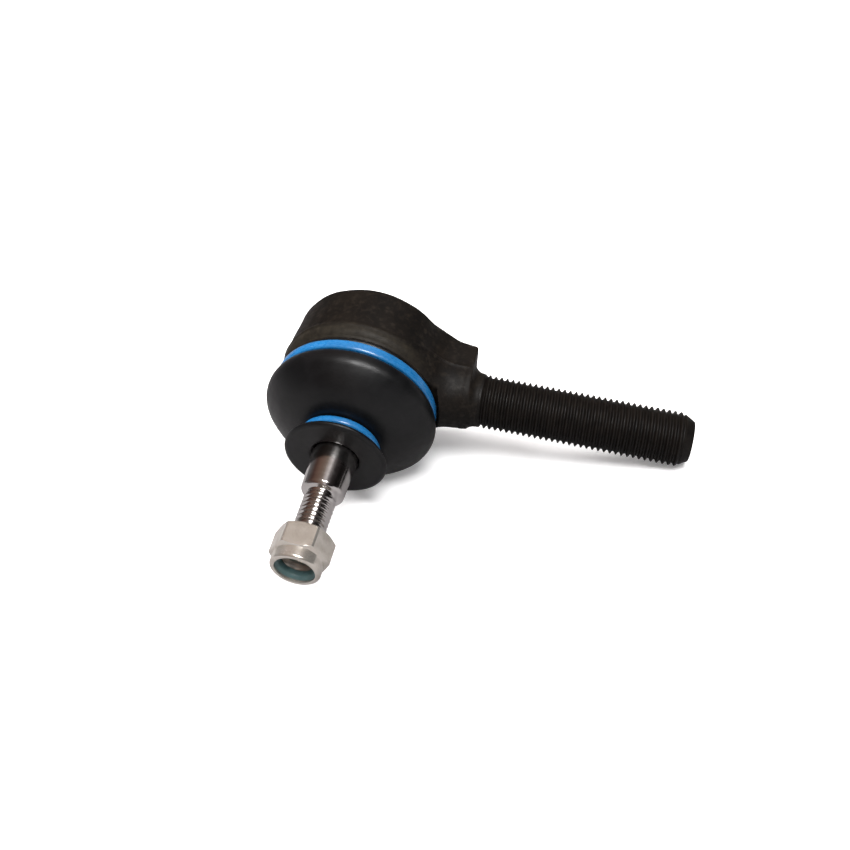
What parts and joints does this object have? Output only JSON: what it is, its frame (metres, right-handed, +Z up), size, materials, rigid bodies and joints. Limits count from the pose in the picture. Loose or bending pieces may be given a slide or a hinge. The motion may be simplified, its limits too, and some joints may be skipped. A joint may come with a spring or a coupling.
{
  "type": "tie rod end",
  "caption": "Steering tie rod end: forged housing with a threaded shank, ball stud with taper and thread, rubber dust boot on two rings, and a lock nut.",
  "frame": {"origin": "centre of the ball, where the shank's axis and the stud's axis cross", "axes": "+X along the shank to its threaded end, -Y along the stud to the nut, +Z up with the part lying on its side"},
  "size_m": [0.1083, 0.0748, 0.0446],
  "materials": {
    "black_oxide_steel": "black phosphated forging with cut threads, semi-matt",
    "cover_steel": "pressed steel disc, black phosphated",
    "seal_rubber": "smooth rubber",
    "spring_steel": "oiled spring steel",
    "seat_plastic": "moulded acetal",
    "polished_steel": "ground and polished steel, rolled thread",
    "boot_rubber": "satin black rubber",
    "blue_plastic": "smooth blue plastic",
    "nut_nylon": "dark teal nylon",
    "zinc_plate": "bright zinc plate, slightly warm"
  },
  "bodies": {
    "housing": {"housing": "black_oxide_steel", "cover_plate": "cover_steel", "cover_seal": "seal_rubber", "preload_spring": "spring_steel", "dust_boot": "boot_rubber", "boot_ring_large": "blue_plastic"},
    "seats": {"cap_side_seat": "seat_plastic", "stud_side_seat": "seat_plastic"},
    "boot_neck": {"boot_ring_small": "blue_plastic"},
    "stud": {"ball_stud": "polished_steel"},
    "nut_carrier": {"nut_insert": "nut_nylon"},
    "nut": {"lock_nut": "zinc_plate"}
  },
  "joints": [
    {"name": "seat_turn", "type": "hinge", "parent": "housing", "child": "seats", "pos_m": [0, 0, 0], "axis": [0, -1, 0], "continuous": true},
    {"name": "stud_swing", "type": "hinge", "parent": "seats", "child": "boot_neck", "pos_m": [0, 0, 0], "axis": [0, 0, 1], "range_deg": [-20, 20], "deforming": ["dust_boot"]},
    {"name": "stud_spin", "type": "hinge", "parent": "boot_neck", "child": "stud", "pos_m": [0, 0, 0], "axis": [0, -1, 0], "continuous": true},
    {"name": "nut_travel", "type": "slide", "parent": "stud", "child": "nut_carrier", "axis": [0, 1, 0], "range_m": [-0.003, 0.0118]},
    {"name": "nut_turn", "type": "hinge", "parent": "nut_carrier", "child": "nut", "pos_m": [0, 0, 0], "axis": [0, 1, 0], "range_deg": [-865, 3399]}
  ],
  "couplings": [
    {"joint": "nut_turn", "follows": "nut_travel", "rad_per_m": 5026.5}
  ]
}
